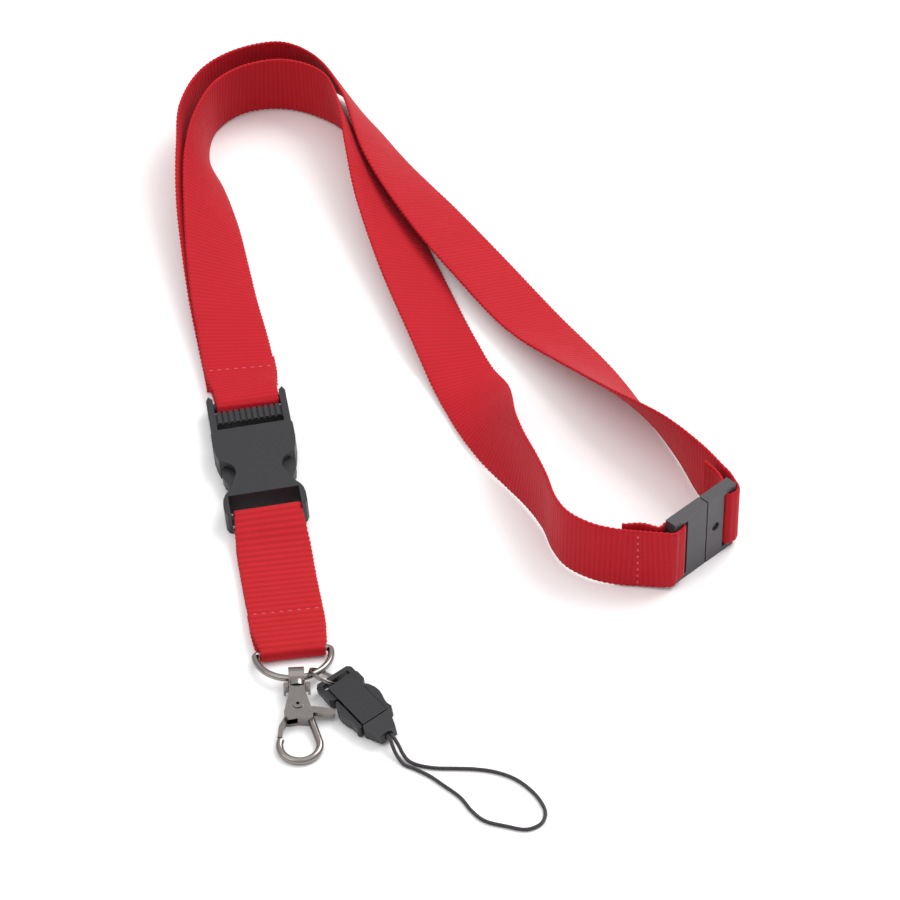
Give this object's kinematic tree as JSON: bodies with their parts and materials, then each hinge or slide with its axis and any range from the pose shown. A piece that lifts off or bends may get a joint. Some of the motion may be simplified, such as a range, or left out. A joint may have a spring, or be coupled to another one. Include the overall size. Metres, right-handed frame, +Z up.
{
  "type": "lanyard",
  "caption": "Neck lanyard: webbing loop with a safety breakaway, side-release buckle, drop strap with D-ring, swivel snap hook and a detachable phone-cord clip.",
  "frame": {"origin": "centre of the lanyard's outline on the surface it lies on, leaving out the loose phone cord", "axes": "+Z up from the surface; +Y runs from the hook towards the neck loop; +X to the right"},
  "size_m": [0.1566, 0.3078, 0.0216],
  "materials": {
    "webbing": "red woven polyester webbing with cross ribs",
    "drop_webbing": "red woven webbing with bolder cross ribs",
    "breakaway_plastic": "dark grey satin moulded plastic",
    "buckle_plastic": "charcoal satin moulded plastic",
    "nickel": "polished nickel plating",
    "spring_steel": "drawn steel wire",
    "clip_plastic": "black semi-gloss moulded plastic",
    "cord": "black braided cord"
  },
  "bodies": {
    "neck": {"neck_webbing_front": "webbing", "neck_webbing_back": "webbing", "breakaway_socket": "breakaway_plastic", "buckle_plug": "buckle_plastic"},
    "breakaway_half": {"breakaway_plug": "breakaway_plastic"},
    "prong_left": {"buckle_prong_left": "buckle_plastic"},
    "prong_right": {"buckle_prong_right": "buckle_plastic"},
    "drop": {"buckle_socket": "buckle_plastic", "drop_webbing": "drop_webbing"},
    "ring": {"d_ring": "nickel"},
    "eye": {"swivel_eye": "nickel"},
    "hook": {"hook_body": "nickel", "lever_rivet": "nickel", "lever_spring": "spring_steel"},
    "lever": {"hook_lever": "nickel"},
    "split": {"split_ring": "nickel"},
    "clip": {"clip_frame": "clip_plastic"},
    "clip_end": {"clip_plug": "clip_plastic", "cord_crimp": "nickel", "phone_cord": "cord"},
    "clip_arm_l": {"clip_arm_left": "clip_plastic"},
    "clip_arm_r": {"clip_arm_right": "clip_plastic"}
  },
  "joints": [
    {"name": "breakaway_pull", "type": "slide", "parent": "neck", "child": "breakaway_half", "axis": [-0.7071, -0.7071, 0], "range_m": [0, 0.007], "deforming": ["neck_webbing_front"]},
    {"name": "prong_left_squeeze", "type": "hinge", "parent": "neck", "child": "prong_left", "pos_m": [-0.05902, -0.02214, 0.00336], "axis": [-0.0689, -0.0107, 0.9976], "range_deg": [0, 8]},
    {"name": "prong_right_squeeze", "type": "hinge", "parent": "neck", "child": "prong_right", "pos_m": [-0.04541, -0.02003, 0.00432], "axis": [-0.0689, -0.0107, 0.9976], "range_deg": [-8, 0]},
    {"name": "buckle_release", "type": "slide", "parent": "neck", "child": "drop", "axis": [0.153, -0.9882, 0], "range_m": [0, 0.021], "deforming": ["buckle_prong_left", "buckle_prong_right"]},
    {"name": "d_ring_swing", "type": "hinge", "parent": "drop", "child": "ring", "pos_m": [-0.03936, -0.10278, 0.0021], "axis": [-0.9882, -0.153, 0], "range_deg": [0, 60]},
    {"name": "eye_swing", "type": "hinge", "parent": "ring", "child": "eye", "pos_m": [-0.03802, -0.11366, 0.00306], "axis": [-0.9882, -0.153, 0], "range_deg": [0, 45]},
    {"name": "hook_swivel", "type": "hinge", "parent": "eye", "child": "hook", "pos_m": [-0.03802, -0.11366, 0.00306], "axis": [0.0609, -0.9955, -0.0732], "continuous": true},
    {"name": "lever_press", "type": "hinge", "parent": "hook", "child": "lever", "pos_m": [-0.03739, -0.12401, 0.0023], "axis": [0.0045, -0.0731, 0.9973], "range_deg": [0, 14], "stiffness_Nm_per_rad": 0.02, "springref_deg": -11.46},
    {"name": "split_ring_swing", "type": "hinge", "parent": "ring", "child": "split", "pos_m": [-0.03117, -0.10971, 0.00281], "axis": [0.591, 0.8043, -0.0616], "range_deg": [0, 15]},
    {"name": "clip_swing", "type": "hinge", "parent": "split", "child": "clip", "pos_m": [-0.02832, -0.11393, 0.00295], "axis": [-0.8067, -0.5649, -0.1736], "range_deg": [0, 12]},
    {"name": "clip_release", "type": "slide", "parent": "clip", "child": "clip_end", "axis": [0.5736, -0.8191, 0], "range_m": [0, 0.012]},
    {"name": "clip_arm_left_squeeze", "type": "hinge", "parent": "clip_end", "child": "clip_arm_l", "pos_m": [-0.02147, -0.13184, 0.00233], "axis": [-0.1422, -0.0996, 0.9848], "range_deg": [-6, 0]},
    {"name": "clip_arm_right_squeeze", "type": "hinge", "parent": "clip_end", "child": "clip_arm_r", "pos_m": [-0.01389, -0.12653, 0.00397], "axis": [-0.1422, -0.0996, 0.9848], "range_deg": [0, 6]}
  ]
}
